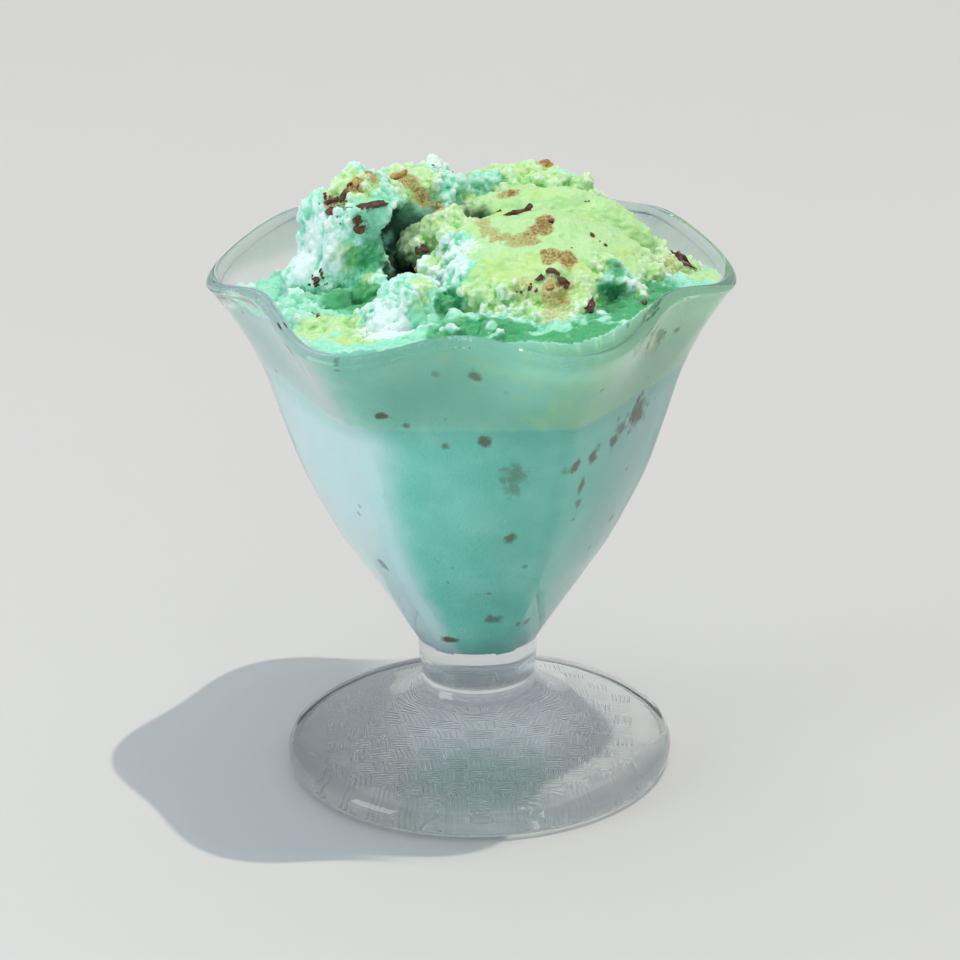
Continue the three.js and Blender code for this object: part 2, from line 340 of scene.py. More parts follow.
def wave_with_lobes(obj):
    """Flattens a spun piece into panels and waves its rim, then drops the numbers it read."""
    share, out, up = (np.array([v.value for v in obj.data.attributes[n].data])
                      for n in ("share", "out", "up"))
    spots = places(obj)
    radius = np.hypot(spots[:, 0], spots[:, 1])
    angle = np.arctan2(spots[:, 0], -spots[:, 1])  # from the front towards the right
    turn = angle - LOBE_TURN
    wave = np.cos(LOBES * turn)
    half = math.pi / LOBES
    in_panel = np.abs((turn + half) % (2 * half) - half)
    flat = 1 - math.cos(half) / np.cos(in_panel)
    new_radius = np.where(radius > 1e-6, radius * (1 - share * flat) - out * wave, 0)
    height = spots[:, 2] + up * wave
    move_to(obj, np.stack([new_radius * np.sin(angle), -new_radius * np.cos(angle), height], 1))
    for name in ("share", "out", "up"):
        obj.data.attributes.remove(obj.data.attributes[name])


def make_glass():
    inside = through(inside_stations(0.0), 4)
    stations = [s for run in outside_runs() for s in run] + inside[::-1]
    kept = [stations[0]]
    for station in stations[1:]:
        if np.linalg.norm((station - kept[-1])[:2]) > 0.05:
            kept.append(station)
    glass = spun("sundae_glass", kept)
    cut(glass, weave(), "UNION")
    pick(glass)
    bpy.ops.object.shade_smooth_by_angle(angle=math.radians(30))
    return glass


def weave():
    """The basket-weave of short bars pressed into the foot's underside."""
    draw = np.random.default_rng(3)
    deselect()
    bpy.ops.mesh.primitive_cube_add(size=MM)
    bar = bpy.context.object
    modify(bar, "BEVEL", width=0.25 * MM, segments=1)
    verts, faces = places(bar), [list(f.vertices) for f in bar.data.polygons]
    bpy.data.objects.remove(bar)
    corners, all_faces = [], []
    cells = int(FOOT_RING / WEAVE_PATCH) + 1
    for row in range(-cells, cells + 1):
        for column in range(-cells, cells + 1):
            middle = np.array([column, row]) * WEAVE_PATCH
            if np.hypot(*middle) > FOOT_RING - WEAVE_PATCH * 0.6:
                continue
            turn = (row + column) % 2 * math.pi / 2 + draw.normal(0, 0.06)
            cos, sin = math.cos(turn), math.sin(turn)
            for bar_at in range(WEAVE_BARS):
                off = (bar_at - (WEAVE_BARS - 1) / 2) * WEAVE_PATCH / WEAVE_BARS
                size = [WEAVE_PATCH * draw.uniform(0.86, 1.0), WEAVE_BAR, WEAVE_DEPTH * 2]
                local = verts * size + [0, off + draw.normal(0, 0.04), 0]
                x = middle[0] + local[:, 0] * cos - local[:, 1] * sin
                y = middle[1] + local[:, 0] * sin + local[:, 1] * cos
                start = len(corners) * len(verts)
                corners.append(np.stack([x, y, local[:, 2] + UNDERSIDE_RECESS], 1))
                all_faces += [[start + i for i in face] for face in faces]
    return raw_piece("weave", np.concatenate(corners), all_faces)


def make_room():
    """All the room inside the glass and the air above it, reaching just into the wall."""
    mouth = lip_ring(math.pi, LIP_RADIUS - WALL_BITE)
    sky = mouth.copy()
    sky[1] = ROOM_TOP
    stations = [*through([*inside_stations(-WALL_BITE), mouth], 4), sky, ring(0, ROOM_TOP)]
    stations[0] = ring(0, CAVITY_FLOOR - WALL_BITE)
    return spun("room", stations)


# The gelato's forms. A lump is a ball, with its middle, its radii, its turns in degrees and how
# finely it is divided, or a slab, whose values have names.


def ball(at, radii, turn=(0, 0, 0), level=4):
    facing = Euler([math.radians(t) for t in turn], "ZYX").to_matrix().to_euler()
    bpy.ops.mesh.primitive_ico_sphere_add(subdivisions=level, radius=MM, location=Vector(at) * MM)
    obj = bpy.context.object
    obj.scale = radii
    obj.rotation_euler = facing
    return settle(obj)


def slab(at, size, turn=(0, 0, 0), top=1.0):
    """A block with rounded edges, whose top is as wide as its base times top."""
    facing = Euler([math.radians(t) for t in turn], "ZYX").to_matrix().to_euler()
    bpy.ops.mesh.primitive_cube_add(size=MM)
    obj = bpy.context.object
    spots = places(obj)
    spots[spots[:, 2] > 0, :2] *= top
    move_to(obj, spots)
    obj.location = Vector(at) * MM
    obj.scale = size
    obj.rotation_euler = facing
    settle(obj)
    modify(obj, "BEVEL", width=0.8 * MM, segments=3)
    return obj


def crumbed(obj, where, count, sizes, seed):
    """Strews crumbs over the parts of a piece that where() picks, and fuses them to it."""
    draw = np.random.default_rng(seed)
    spots, out = places(obj), normals(obj)
    weight = np.clip(where(spots, out) - 0.05, 0, None) * smooth(0.45, 0.75, patches(spots, 7.0))
    chosen = draw.choice(len(spots), count, p=weight / weight.sum())
    verts, faces = crumb_shape()
    radius = 1 / draw.uniform(1 / sizes[1], 1 / sizes[0], count)
    stretch = draw.uniform(0.55, 1.5, (count, 3))
    turns = np.linalg.qr(draw.normal(size=(count, 3, 3)))[0]
    turns *= np.sign(np.linalg.det(turns))[:, None, None]
    middle = spots[chosen] + out[chosen] * (radius * draw.uniform(-0.6, 0.3, count))[:, None]
    shapes = verts[None] * (radius[:, None] * stretch)[:, None] @ turns
    corners = middle[:, None] + shapes
    all_faces = (faces[None] + np.arange(count)[:, None, None] * len(verts)).reshape(-1, 3)
    return fused([obj, raw_piece("crumbs", corners.reshape(-1, 3), all_faces.tolist())])


def crumb_shape():
    bpy.ops.mesh.primitive_ico_sphere_add(subdivisions=1, radius=MM)
    obj = bpy.context.object
    verts = places(obj)
    faces = np.array([list(f.vertices) for f in obj.data.polygons])
    bpy.data.objects.remove(obj)
    return verts, faces


def patches(spots, size):
    """A soft random pattern between 0 and 1, with patches about size across."""
    total = np.zeros(len(spots))
    draw = np.random.default_rng(5)
    for _ in range(9):
        way = draw.normal(size=3)
        way *= draw.uniform(0.6, 1.6) * math.pi / size / np.linalg.norm(way)
        total += np.sin(spots @ way + draw.uniform(0, math.tau))
    return 0.5 + total / 9 * 1.2


def weigh(obj, name, weights):
    """Gives a piece a vertex group from an array of weights."""
    group = obj.vertex_groups.new(name=name)
    steps = np.round(np.clip(weights, 0, 1) * 20).astype(int)
    for step in range(1, 21):
        chosen = np.nonzero(steps == step)[0]
        group.add(chosen.tolist(), step / 20, "REPLACE")


def rough_up(obj, layers):
    """Displaces a piece by layers of noise, each within its own vertex group."""
    for group, kind, scale, depth in layers:
        texture = bpy.data.textures.new(f"{obj.name}_{group}_{scale}", "CLOUDS")
        texture.noise_scale = scale * MM
        texture.noise_type = kind
        texture.noise_depth = 2
        modify(
            obj,
            "DISPLACE",
            texture=texture,
            texture_coords="LOCAL",
            vertex_group=group,
            strength=depth * MM,
            mid_level=0.5 if kind == "SOFT_NOISE" else 0.3,
        )


CRAGS = (
    ("torn", "HARD_NOISE", 7.0, -3.0),
    ("torn", "SOFT_NOISE", 3.4, 1.8),
    ("whole", "SOFT_NOISE", 4.5, 2.2),
)
GRIT = (
    ("torn", "SOFT_NOISE", 1.5, 1.0),
    ("torn", "HARD_NOISE", 1.0, 0.7),
    ("whole", "SOFT_NOISE", 1.2, 0.9),
)


def levelled(values, edges, times):
    """Values averaged over each vertex's neighbours, a number of times."""
    a, b = edges
    ends = np.concatenate([a, b])
    others = np.concatenate([b, a])
    count = np.maximum(np.bincount(ends, minlength=len(values)), 1)
    for _ in range(times):
        values = np.stack(
            [
                np.bincount(ends, values[others, k], minlength=len(values)) / count
                for k in range(values.shape[1])
            ],
            1,
        )
    return values


def crests(obj, times, depth):
    """How far each vertex stands out of its surroundings, from -1 to 1."""
    spots, out = places(obj), normals(obj)
    edges = np.empty(len(obj.data.edges) * 2, dtype=int)
    obj.data.edges.foreach_get("vertices", edges)
    level = levelled(spots, edges.reshape(-1, 2).T, times)
    return np.clip(((spots - level) * out).sum(1) / depth, -1, 1)


def scrape(obj, weights, across, pitch, depth, seed):
    """Grooves left by the scoop's edge, at uneven distances measured along across."""
    draw = np.random.default_rng(seed)
    spots, out = places(obj), normals(obj)
    drift = patches(spots, 16) * 3
    height = np.zeros(len(spots))
    for scale, share in ((1.0, 0.45), (2.7, 1.0)):
        table = draw.uniform(-1, 1, 400)
        height += share * np.interp((across(spots) + drift) / (pitch * scale) % 399,
                                    np.arange(400), table)
    move_to(obj, spots + out * (height * depth * weights(spots, out))[:, None])


def scoop(name, lumps, hollows, torn_at, crumbs, largest, seed, scrapes=()):
    """Fuses lumps, cuts hollows and roughens what is left, most where torn_at says it is torn."""
    obj = fused([slab(**one) if isinstance(one, dict) else ball(*one) for one in lumps])
    obj.name = name
    voxels(obj, FUSE_CELL)
    for hollow in hollows:
        cut(obj, ball(*hollow), "DIFFERENCE")
    voxels(obj, FUSE_CELL)
    grade(obj, torn_at)
    rough_up(obj, CRAGS)
    obj = crumbed(obj, torn_at, crumbs, (SMALLEST_CRUMB, largest), seed)
    voxels(obj, CRUMB_CELL)
    grade(obj, torn_at)
    for one in scrapes:
        scrape(obj, *one, seed)
    rough_up(obj, GRIT)
    note_surface(obj, np.clip(torn_at(places(obj), normals(obj)), 0, 1))
    return obj


def everywhere(p, n):
    return np.ones(len(p))


def grade(obj, torn_at):
    """Gives a piece its torn and its whole vertex groups."""
    torn = np.clip(torn_at(places(obj), normals(obj)), 0, 1)
    obj.vertex_groups.clear()
    weigh(obj, "torn", torn)
    weigh(obj, "whole", 1 - torn)


def note_surface(obj, torn):
    """Keeps what a gelato material reads: where it is torn, where it stands out, what colours it,
    and where shade and light are painted into it.
    """
    obj.vertex_groups.clear()
    store(obj, "torn", torn)
    store(obj, "crest", crests(obj, 4, 0.25))
    store(obj, "ridge", crests(obj, 30, 1.0))
    spots = places(obj)
    for kind in ("lime", "caramel", "icy_and_lit", "cave", "deep_green_and_shade", "brown"):
        store(obj, kind, painted(spots, kind, 1.0 if kind == "lime" and "lime" in obj.name else 0.0))


# Where each colour lies: its middle, its radius, and how much of it there is. Caves are painted
# shade, nearly black, and sunk places deep green, partly their own colour and partly painted shade.
PAINT = {
    "lime": (
        ((-24, 0, 127), 6.5, 1.0), ((-13, 9, 126), 8, 1.0), ((-8, 19, 124), 5, 0.8),
        ((-25.5, -9.8, 116), 4, 0.9), ((-21, -12, 111), 3.5, 0.6), ((-8, -23.6, 115), 4, 0.9),
        ((-5, -25.5, 108), 4.5, 0.9), ((-10.5, -33, 114), 2.8, 0.35), ((-7, -24.5, 112), 4.5, 1.0),
        ((-26, -27.7, 106), 6, 1.0), ((-30, -31, 106), 6, 1.0), ((-22, -36, 107), 6, 0.9),
        ((-20, -33, 105), 5, 0.8), ((-30, -25, 104), 6, 1.0), ((-24, -31, 105), 5, 1.0),
        ((-31, -22, 106), 3.5, 0.8), ((-3, -13, 120), 5, 0.2), ((-3, -20, 116), 6, 0.1),
        ((-5, -25, 111), 5, 0.2), ((2, -30, 108), 5, 0.35), ((30, -24, 115), 6, 0.3),
        ((25, -33, 106), 7, 0.35), ((2.5, 21, 121), 4.5, 0.2), ((20, 24, 121), 3, 0.4),
        ((45, -2, 108), 7, 0.8),
    ),
    "caramel": (
        ((1.9, -4, 121), 2.2, 0.7), ((2.6, -8, 121.5), 2.4, 0.8), ((3.6, -12.0, 121.5), 2.6, 0.8),
        ((5.9, -15.7, 121.4), 2.8, 0.9), ((9.2, -17.3, 121.6), 2.7, 0.9),
        ((12.2, -17.5, 121.8), 2.8, 1.0), ((14.0, -14.0, 122.4), 2.8, 1.3),
        ((14.8, -10.0, 122.6), 2.8, 1.4), ((15.8, -22.2, 119.6), 2.4, 1.2),
        ((19.0, -22.8, 118.8), 2.6, 1.2), ((16.6, -29.5, 114.8), 4.2, 0.9),
        ((16.5, -33.0, 111.0), 3.4, 0.7), ((10.3, -28.6, 115.0), 3.4, 0.6),
        ((-14.5, 9.5, 126.0), 2.6, 1.0), ((-12.5, 8.8, 125.0), 2.4, 1.1),
        ((-10.2, 7.0, 124.0), 2.4, 1.1), ((-9, 6, 122.5), 2.4, 1.1), ((-7, 4.5, 120.8), 2.2, 1.0),
        ((-8.0, 3.5, 122.8), 2.4, 1.1), ((-6.0, 0.8, 121.4), 2.4, 0.9),
        ((8.0, 9.8, 121.9), 2.8, 1.0), ((-28.5, -22.0, 106.5), 2.6, 0.7),
        ((-8.1, -11.4, 113.6), 2.6, 0.9), ((-23, -1, 127.5), 3.0, 1.0), ((-20, 1.6, 128), 2.4, 0.9),
        ((-27.5, -3.2, 125), 2.6, 0.9), ((-22, -8, 122), 1.6, 0.8), ((41, 0, 108.3), 4.5, 0.6),
        ((15.0, 27.5, 119.5), 4.0, 0.9), ((-23.0, 14.0, 121.0), 3.6, 0.9),
        ((31.0, 14.0, 112.5), 3.4, 0.8), ((12.0, 31.0, 116.5), 3.4, 0.8),
    ),
    # Painted shade: nearly black in the hollows between the scoops.
    "cave": (
        ((-13, -9, 108), 6.5, 1.0), ((-10, -3, 107), 6.5, 1.0), ((-14.5, -2, 113), 4.5, 1.0),
        ((-16, 1, 119.5), 4.2, 1.0), ((-18, -3, 118), 3.4, 1.0), ((-13, 3, 117.5), 3.4, 0.9),
        ((-12, 3, 114), 4.5, 0.9), ((-3, 3, 113), 4.5, 1.0), ((-1, 5, 117), 4, 0.8),
        ((-13.5, -11.5, 112.5), 3.6, 1.0), ((-13, -1, 116.5), 4.0, 0.5),
        ((-13.5, -3.5, 118), 3.6, 0.55), ((-11, 5, 120), 4.0, 0.4), ((2, 7, 115), 5, 0.9),
        ((-6, 6, 113), 5, 0.9), ((28, -25, 110.5), 4, 0.3), ((-24.5, -13.5, 105.5), 3.0, 0.4),
    ),
    # Deep green: partly the gelato's own darker green, partly painted shade on faces turned from the
    # light and in recesses.
    "deep_green_and_shade": (
        ((-22.5, -10, 115.5), 3.4, 0.9), ((-24.5, -15.5, 106.5), 4.8, 1.0),
        ((-21, -16, 108.8), 3, 0.8), ((-27.2, -10.6, 106.3), 4, 0.8),
        ((-19.6, -9.6, 113.8), 2.5, 0.8), ((-4.8, -25.5, 111.5), 3.5, 0.9),
        ((28.5, -21.5, 116.5), 2.6, 0.7), ((32, -27, 111), 5, 0.9), ((-3, -35, 110), 4.5, 0.7),
        ((1, -38, 110), 6, 0.95), ((8, -40, 110), 6, 0.95), ((16, -45, 109), 5, 0.95),
        ((24, -42, 110), 6, 0.95), ((-19, -9, 118), 3.6, 0.8), ((-19.5, -8.5, 122), 3.4, 0.4),
        ((-24, -12.5, 111.5), 4.6, 0.5), ((-25, -15, 107), 4.5, 1.0), ((-14, 4, 119.5), 5.0, 0.5),
        ((-4, -44, 108), 6, 0.95), ((8, -46, 108), 6, 0.95), ((24, -44, 108), 6, 0.95),
        ((31, -38, 107), 7, 0.95), ((-6, -40, 105), 6, 1.0), ((8, -33, 104.5), 6, 1.0),
        ((24, -41, 106), 6.5, 1.0), ((33, -33, 107), 8, 1.0), ((41, -20, 108), 7, 1.0),
        ((2, -38, 105), 8, 1.0), ((15, -42, 103), 5, 1.0), ((24, -36, 105), 8, 1.0),
        ((32, -30, 106), 8, 1.0), ((37, -20, 107), 7, 0.9), ((28, -26, 111), 5, 0.9),
        ((-18, -16, 105), 6, 0.7), ((-24, -16, 106), 5, 0.5), ((-5, -29, 106), 4, 0.7),
        ((-22, -14.5, 108), 4.5, 0.95), ((-27, -14, 107), 4, 0.9), ((-32, -12, 107), 3.5, 0.5),
    ),
    # Pale icy colour: frost, and on the left scoop's left flank, which faces the light from the
    # left, also painted light.
    "icy_and_lit": (
        ((-31, -5, 117), 9, 0.9), ((-28, -8, 121), 6, 0.7), ((-8, 21, 124), 4.5, 0.7),
        ((-17, -34, 110), 6, 1.0), ((-4, -16, 117), 8, 0.7), ((8, -31, 110), 6, 0.4),
        ((22, -32, 110), 6, 0.4), ((33, -21, 112), 5, 0.5),
    ),
}


def stains(bits):
    """A stain in the gelato round each bit."""
    return tuple((one[0], 1.0 + one[1][1] * 0.7, 0.8) for one in bits)


def painted(spots, kind, base):
    """How much of one kind of colour lies at each spot, with ragged edges."""
    amount = np.full(len(spots), float(base))
    rag = patches(spots, 2.2) * 0.7 + patches(spots, 0.9) * 0.3
    for at, radius, target in PAINT[kind]:
        far = np.linalg.norm(spots - np.array(at), axis=1) / radius + (rag - 0.5) * 0.5
        amount = mix(amount, target, smooth(1.15, 0.6, far))
    return amount


def skirt(middle, radius, start, end, count, height, size, seed):
    """Lumps strung along an arc seen from above, the torn lower edge of a scoop."""
    draw = np.random.default_rng(seed)
    lumps = []
    for angle in np.radians(np.linspace(start, end, count)):
        reach = radius + draw.uniform(-1.2, 1.2)
        wide = size * draw.uniform(0.8, 1.25)
        at = (
            middle[0] + reach * math.sin(angle),
            middle[1] - reach * math.cos(angle),
            height + draw.uniform(-1.5, 1.5),
        )
        lumps.append((at, (wide, wide, wide * 0.85), (0, 0, 0), 3))
    return lumps


def make_scoops():
    """The five scoops, each with the zones where it is torn, smooth or scraped."""

    def right_torn(p, n):
        left = smooth(4, -4, p[:, 0])
        low = smooth(116, 111, p[:, 2] + 0.1 * p[:, 1])
        cave = smooth(11, 7, np.linalg.norm(p - [29, -26, 113], axis=1))
        back = smooth(5, 12, p[:, 1])
        ragged = (patches(p, 4.0) - 0.5) * 0.9
        edge = np.maximum.reduce([left, low, cave, back])
        return smooth(0.2, 0.8, edge + ragged * (edge > 0.02)) + 0.02

    def whole(p, n):
        return 1 - np.clip(right_torn(p, n), 0, 1)

    def slope(p):
        return p @ np.array([-0.25, 0.85, 0.45])

    def flank(p, n):
        return smooth(10, 6, np.linalg.norm(p - [-31, -6, 117], axis=1))

    def about(p):
        return np.arctan2(p[:, 0] + 22, -(p[:, 1] - 3)) * 14

    def left_torn(p, n):
        slab_face = smooth(6, 4.4, np.linalg.norm(p - [-18.6, -8, 123.6], axis=1))
        inner = smooth(9, 7, np.linalg.norm(p - [-11, -1, 117.5], axis=1)) * smooth(-2, 2, p[:, 1])
        return 1.02 - np.maximum.reduce([slab_face, inner * 0.9, flank(p, n) * 0.6])

    def front_torn(p, n):
        right_face = smooth(-12.6, -11.2, p[:, 0] + (patches(p, 4.0) - 0.5) * 3)
        return 1.02 - right_face * smooth(-26, -28, p[:, 1]) * smooth(116.5, 115, p[:, 2])

    def back_torn(p, n):
        roll = smooth(17.5, 14.5, p[:, 1]) * smooth(-1, 4, p[:, 0]) * smooth(108, 112, p[:, 2])
        return smooth(0.2, 0.8, 1 - roll + (patches(p, 4.0) - 0.5) * 0.8 * (roll < 0.98)) + 0.02

    def roll_whole(p, n):
        return 1 - np.clip(back_torn(p, n), 0, 1)

    right = scoop(
        "scoop_lime_right",
        [
            ((15, -9, 107), (24.5, 23, 15.4), (0, 8, 0), 5),
            ((3, -8, 110), (11, 13, 11.5)),
            ((-5, 0, 116.5), (5, 5, 5)),
            ((-11, -0.5, 113.5), (4.5, 4, 4.5)),
            *skirt(middle=(15, -9), radius=18, start=-62, end=66, count=7, height=107, size=6.4,
                   seed=4),
            ((16.5, -33.0, 106.8), (6.5, 5.0, 5.2)),
        ],
        [
            ((30, -29, 113), (8, 6, 5), (0, 25, 30)),
            ((4, -37, 102), (10, 7, 5.5)),
        ],
        torn_at=right_torn,
        crumbs=850,
        largest=2.3,
        seed=11,
        scrapes=((whole, slope, 0.8, 0.16),),
    )
    front = scoop(
        "scoop_aqua_front",
        [
            ((-15.5, -30, 106.5), (6, 5.5, 7.5), (-6, 0, 10)),
            {
                "at": (-12.4, -32, 109),
                "size": (12.5, 8, 15.5),
                "turn": (-6, 0, 24),
                "top": 0.28,
            },
            ((-12, -21.5, 109.2), (7.5, 6, 6.5)),
            ((-21, -27, 105), (5, 5, 5)),
        ],
        [],
        torn_at=front_torn,
        crumbs=240,
        largest=1.3,
        seed=12,
    )
    left = scoop(
        "scoop_aqua_left",
        [
            ((-21.4, 3, 112), (12.9, 13, 16.3), (0, -4, 0), 5),
            ((-10.5, 13, 117.3), (12.5, 7, 8.8), (0, 10, -15)),
            ((-8, 21, 120.8), (4.3, 4.3, 4.3)),
            ((-15, -9, 107.5), (10, 7, 7)),
            ((-31, -3, 107), (7, 8, 8)),
            {"at": (-20.4, -6.2, 123.6), "size": (8.6, 6, 4.8), "turn": (0, 6, 10)},
        ],
        [
            ((-11, -3, 117.5), (7, 9, 7.5), (0, 20, -20)),
            ((-8.5, -7, 110), (6.5, 9, 7)),
            ((-12.0, -10.5, 112.5), (5, 7, 6)),
            ((3.0, 9, 118.5), (6.5, 7.5, 8)),
        ],
        torn_at=left_torn,
        crumbs=800,
        largest=1.9,
        seed=13,
        scrapes=((flank, about, 1.0, 0.7),),
    )
    back = scoop(
        "scoop_lime_back",
        [
            ((17, 11, 110.5), (21, 9, 11.5), (0, 9, 0), 5),
            ((11, 24, 111), (17, 8, 11.6), (0, 4, 0)),
            ((28, 17, 105.5), (8, 10, 7)),
        ],
        [],
        torn_at=back_torn,
        crumbs=500,
        largest=2.4,
        seed=14,
        scrapes=((roll_whole, slope, 0.8, 0.16),),
    )
    side = scoop(
        "scoop_lime_side",
        [((40, 2.5, 105.3), (6, 7, 5.2))],
        [],
        torn_at=everywhere,
        crumbs=80,
        largest=1.6,
        seed=15,
    )
    return right, front, left, back, side


BANK = (
    ((-34, -10, 105), (4.5, 4, 4.5)), ((-30, -22, 104), (5, 3.5, 3.2)),
    ((-24.5, -28, 104.5), (5, 3.5, 3.4)), ((-20, -31.5, 105), (3.5, 2.5, 3)),
    ((-46, -7, 108.2), (1.6, 3.6, 1.0)), ((-44, -12, 106.2), (2.2, 2.6, 1.3)),
    ((-41.5, -14.5, 104), (2.5, 2.4, 1.6)), ((-34, -8, 101), (6, 6.5, 7)),
    ((-29, -20, 100.5), (8, 6, 6.8)), ((-20, -29, 100.5), (7, 6.5, 6.5)),
    ((-38, 2, 98.5), (4.5, 5, 5)),
)


# Bits that lie on the gelato: where, how long, wide and thick, along which way or heading in
# degrees, and bend. Some also say how deep they are sunk and which way up they lie.
CHOCOLATE = (
    ((-20.4, -8.0, 126.0), (8.8, 1.8, 0.8), 4, -0.02, 0.5, (-0.06, -0.12, 1)),
    ((-27.4, -2.5, 125.4), (2.6, 2.0, 1.2), 30, 0), ((-25.7, -3.5, 126.6), (2.2, 1.6, 1.0), -20, 0),
    ((-27.8, -4.4, 123.8), (1.9, 1.5, 1.0), 60, 0), ((-22.2, -6.9, 123.0), (1.8, 1.6, 1.0), 10, 0),
    ((-21.6, -8.6, 121.8), (2.4, 1.7, 1.1), 40, 0), ((-7.2, 18.0, 121.5), (3.4, 2.0, 1.8), 0, 0),
    ((-4.0, 19.0, 122.5), (1.8, 1.3, 1.2), 0, 0), ((-9.6, -5.4, 115.7), (1.9, 1.5, 1.1), 70, 0),
    ((9.0, -3.2, 122.9), (7.5, 1.7, 0.9), 10, 0.03, 0.4),
    ((13.6, -27.2, 117.4), (2.4, 1.1, 0.9), 50, 0), ((16.3, -26.4, 117.9), (2.6, 1.1, 0.9), -20, 0),
    ((18.2, -28.0, 116.6), (2.4, 0.9, 0.9), -75, 0), ((24.0, -31.8, 113.6), (3.3, 1.5, 1.2), 80, 0),
    ((42.6, 1.4, 109.6), (6.8, 1.4, 1.4), (0.55, -0.62, -0.5), 0.05, 0.5, (0.5, 0, 0.85)),
    ((38.2, -0.5, 109.4), (1.2, 1.0, 0.9), 0, 0), ((-33.9, -21.2, 105.8), (2.6, 0.9, 0.9), 70, 0),
    ((-32.6, -23.0, 104.9), (2.2, 0.9, 0.9), 50, 0),
    ((-30.3, -21.9, 106.8), (2.4, 1.3, 1.0), 20, 0),
    ((-20.3, -34.5, 107.2), (2.0, 1.5, 1.2), 80, 0), ((19.0, -34.0, 105.8), (3.0, 1.4, 1.0), 10, 0),
    ((23.0, -33.5, 106.2), (2.0, 1.2, 1.0), 40, 0), ((33.0, -26.0, 110.5), (1.8, 1.2, 1.0), 0, 0),
    ((12.0, 31.0, 116.5), (5.5, 1.8, 1.1), 20, 0.03), ((25.5, 23.0, 114.0), (2.6, 1.8, 1.2), 60, 0),
    ((-28.0, 12.0, 119.0), (3.0, 2.0, 1.2), 100, 0), ((-17.0, 19.0, 120.0), (2.2, 1.6, 1.2), 10, 0),
    ((-31.5, 8.0, 113.0), (2.2, 1.5, 1.2), 40, 0),
)
AMBER = (
    ((-22.6, -1.0, 128.0), (3.0, 2.6, 1.3), 0, 0), ((-19.6, 2.0, 128.4), (2.6, 1.5, 1.0), 20, 0),
    ((-14.4, 10.5, 126.6), (3.2, 1.6, 0.9), 0, 0), ((8.2, 9.2, 122.3), (1.6, 1.2, 0.8), 10, 0),
    ((19.2, -22.8, 118.8), (2.0, 1.3, 0.7), -12, 0), ((15.6, -28.6, 116.0), (1.5, 1.3, 0.8), 0, 0),
    ((-8.1, -11.4, 113.8), (2.2, 1.6, 1.4), 30, 0), ((15.0, 27.5, 119.5), (3.4, 2.2, 1.6), 70, 0),
    ((-23.0, 14.0, 121.0), (3.0, 2.2, 1.6), 30, 0), ((31.0, 14.0, 112.5), (3.0, 2.0, 1.6), 30, 0),
)
# Specks: where they gather, how widely, how many
SPECKS = (
    ((-30.2, -10.4, 111.4), 1.9, 16), ((-26.5, -3.5, 125.5), 3.2, 14),
    ((10.0, -28.5, 114.5), 3.0, 5), ((20.0, -34.0, 105.5), 4.0, 8), ((38.5, 2.0, 109.0), 2.4, 5),
    ((-31.0, -23.0, 105.5), 3.5, 7), ((-18.0, -33.0, 106.0), 3.0, 5), ((6.0, 0.0, 121.5), 3.5, 5),
    ((22.0, -12.0, 120.5), 9.0, 7), ((14.0, 32.0, 115.0), 7.0, 10), ((-24.0, 12.0, 119.0), 8.0, 12),
    ((24.0, 12.0, 117.0), 8.0, 8),
)

PAINT["brown"] = stains(CHOCOLATE)


def bit(at, size, along, bend, ground, seed, sink=0.5, up=None):
    """A broken piece lying on the gelato beneath it, or placed as told when up is given."""
    draw = np.random.default_rng(seed)
    spot, out = Vector(at) * MM, Vector(up or (0, 0, 1))
    if up is None:
        spot, out, _, _ = ground.find_nearest(spot)
    deselect()
    bpy.ops.mesh.primitive_cube_add(size=MM)
    obj = bpy.context.object
    bpy.ops.object.mode_set(mode="EDIT")
    bpy.ops.mesh.subdivide(number_cuts=5 if max(size) > 1.1 else 1)
    bpy.ops.object.mode_set(mode="OBJECT")
    local = places(obj) * 2
    local *= (1 - 0.13 * (np.abs(local[:, [1, 2, 0]]) ** 2 + np.abs(local[:, [2, 0, 1]]) ** 2))
    local = local / 2 * size
    local[:, 1] += bend * local[:, 0] ** 2
    for scale, depth in ((0.9, 0.2), (2.4, 0.2)):
        way = draw.normal(size=(3, 3)) * scale
        local += depth * min(size) * np.sin(local @ way + draw.uniform(0, 6, 3)) * 1.5
    if isinstance(along, tuple):
        along = Vector(along)
    else:
        along = Vector((math.cos(math.radians(along)), math.sin(math.radians(along)), 0))
    aside = out.cross(along).normalized()
    turn = np.array(Matrix((aside.cross(out), aside, out)))
    lift = np.array(out) * size[2] * (0.5 - sink)
    move_to(obj, local @ turn + np.array(spot) / MM + lift)
    return obj


def make_bits(name, kinds, ground, specks=()):
    parts = [bit(*one[:4], ground, seed, *one[4:]) for seed, one in enumerate(kinds)]
    draw = np.random.default_rng(8)
    for at, spread, count in specks:
        for _ in range(count):
            size = draw.uniform(0.35, 0.95) * draw.uniform(0.7, 1.3, 3)
            spot = np.array(at) + draw.normal(0, spread * 0.5, 3)
            seed = int(draw.integers(1000))
            parts.append(bit(spot, size, draw.uniform(0, 180), 0, ground, seed))
    bits = fused(parts)
    bits.name = name
    bpy.ops.object.mode_set(mode="EDIT")
    bpy.ops.mesh.select_all(action="SELECT")
    bpy.ops.mesh.normals_make_consistent(inside=False)
    bpy.ops.object.mode_set(mode="OBJECT")
    bpy.ops.object.shade_smooth_by_angle(angle=math.radians(40))
    return bits


def ground_of(objects):
    """One search tree over several pieces."""
    verts, faces = [], []
    for obj in objects:
        start = len(verts)
        verts += [vertex.co.copy() for vertex in obj.data.vertices]
        faces += [[start + i for i in face.vertices] for face in obj.data.polygons]
    return BVHTree.FromPolygons(verts, faces)


